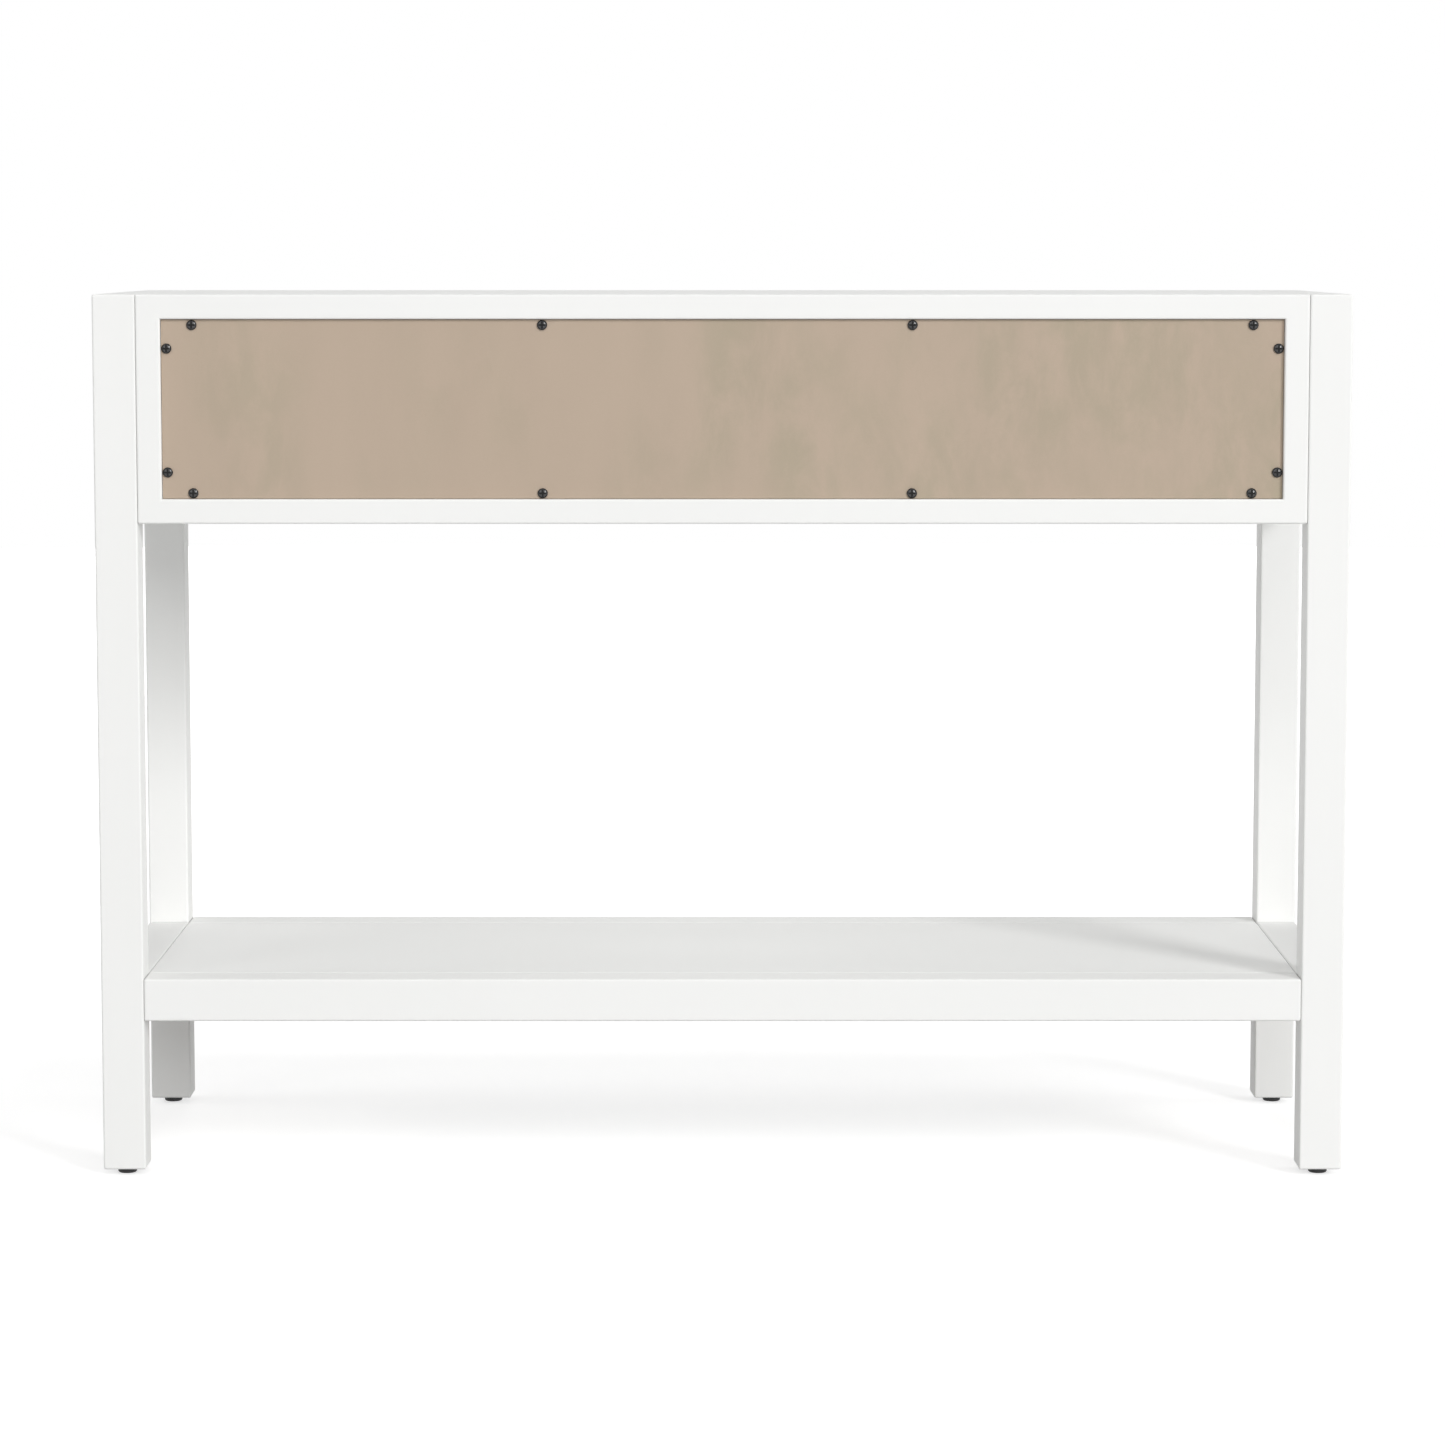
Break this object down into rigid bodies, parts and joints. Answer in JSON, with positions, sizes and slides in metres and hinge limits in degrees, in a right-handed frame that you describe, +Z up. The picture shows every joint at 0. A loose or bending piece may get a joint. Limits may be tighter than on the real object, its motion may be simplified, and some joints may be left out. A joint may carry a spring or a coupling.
{
  "type": "console table",
  "caption": "White-painted console table: square legs, a drawer case with a screwed-on back panel between them, and an open lower shelf.",
  "frame": {"origin": "on the floor, under the middle of the whole outline with its knobs", "axes": "+Z up; the drawers face -Y; +X to the right as seen from the front"},
  "size_m": [1.17, 0.43, 0.83],
  "materials": {
    "white_paint": "satin white paint over wood",
    "back_board": "matt beige hardboard, faintly mottled",
    "drawer_birch": "clear-lacquered birch",
    "beech": "waxed beech",
    "raw_pine": "bare planed pine",
    "black_screw": "black oxide steel",
    "glide_plastic": "moulded black plastic",
    "satin_nickel": "satin nickel",
    "zinc_steel": "bright zinc-plated steel"
  },
  "bodies": {
    "table": {"back_batten_bottom": "raw_pine", "back_batten_left": "raw_pine", "back_batten_right": "raw_pine", "back_batten_top": "raw_pine", "back_panel": "back_board", "back_panel_screws": "black_screw", "case_bottom": "white_paint", "case_divider_left": "white_paint", "case_divider_right": "white_paint", "case_dowels": "beech", "case_side_left": "white_paint", "case_side_right": "white_paint", "case_top": "white_paint", "connecting_bolts": "zinc_steel", "drawer_runners_centre": "beech", "drawer_runners_left": "beech", "drawer_runners_right": "beech", "foot_glide_front_left": "glide_plastic", "foot_glide_front_right": "glide_plastic", "foot_glide_rear_left": "glide_plastic", "foot_glide_rear_right": "glide_plastic", "frame_dowels": "beech", "leg_front_left": "white_paint", "leg_front_right": "white_paint", "leg_rear_left": "white_paint", "leg_rear_right": "white_paint", "runner_screws": "zinc_steel", "shelf_dowels": "beech", "shelf_end_batten_left": "raw_pine", "shelf_end_batten_right": "raw_pine", "shelf_front_rail": "white_paint", "shelf_panel": "white_paint", "shelf_rear_rail": "white_paint", "side_panel_left": "white_paint", "side_panel_right": "white_paint", "side_stretcher_left": "white_paint", "side_stretcher_right": "white_paint", "threaded_inserts": "zinc_steel"},
    "drawer_left": {"drawer_left_back": "drawer_birch", "drawer_left_bottom": "drawer_birch", "drawer_left_front": "white_paint", "drawer_left_knob": "satin_nickel", "drawer_left_knob_screw": "zinc_steel", "drawer_left_side_left": "drawer_birch", "drawer_left_side_right": "drawer_birch"},
    "drawer_centre": {"drawer_centre_back": "drawer_birch", "drawer_centre_bottom": "drawer_birch", "drawer_centre_front": "white_paint", "drawer_centre_knob": "satin_nickel", "drawer_centre_knob_screw": "zinc_steel", "drawer_centre_side_left": "drawer_birch", "drawer_centre_side_right": "drawer_birch"},
    "drawer_right": {"drawer_right_back": "drawer_birch", "drawer_right_bottom": "drawer_birch", "drawer_right_front": "white_paint", "drawer_right_knob": "satin_nickel", "drawer_right_knob_screw": "zinc_steel", "drawer_right_side_left": "drawer_birch", "drawer_right_side_right": "drawer_birch"}
  },
  "joints": [
    {"name": "drawer_left_slide", "type": "slide", "parent": "table", "child": "drawer_left", "axis": [0, -1, 0], "range_m": [0, 0.25]},
    {"name": "drawer_centre_slide", "type": "slide", "parent": "table", "child": "drawer_centre", "axis": [0, -1, 0], "range_m": [0, 0.25]},
    {"name": "drawer_right_slide", "type": "slide", "parent": "table", "child": "drawer_right", "axis": [0, -1, 0], "range_m": [0, 0.25]}
  ]
}
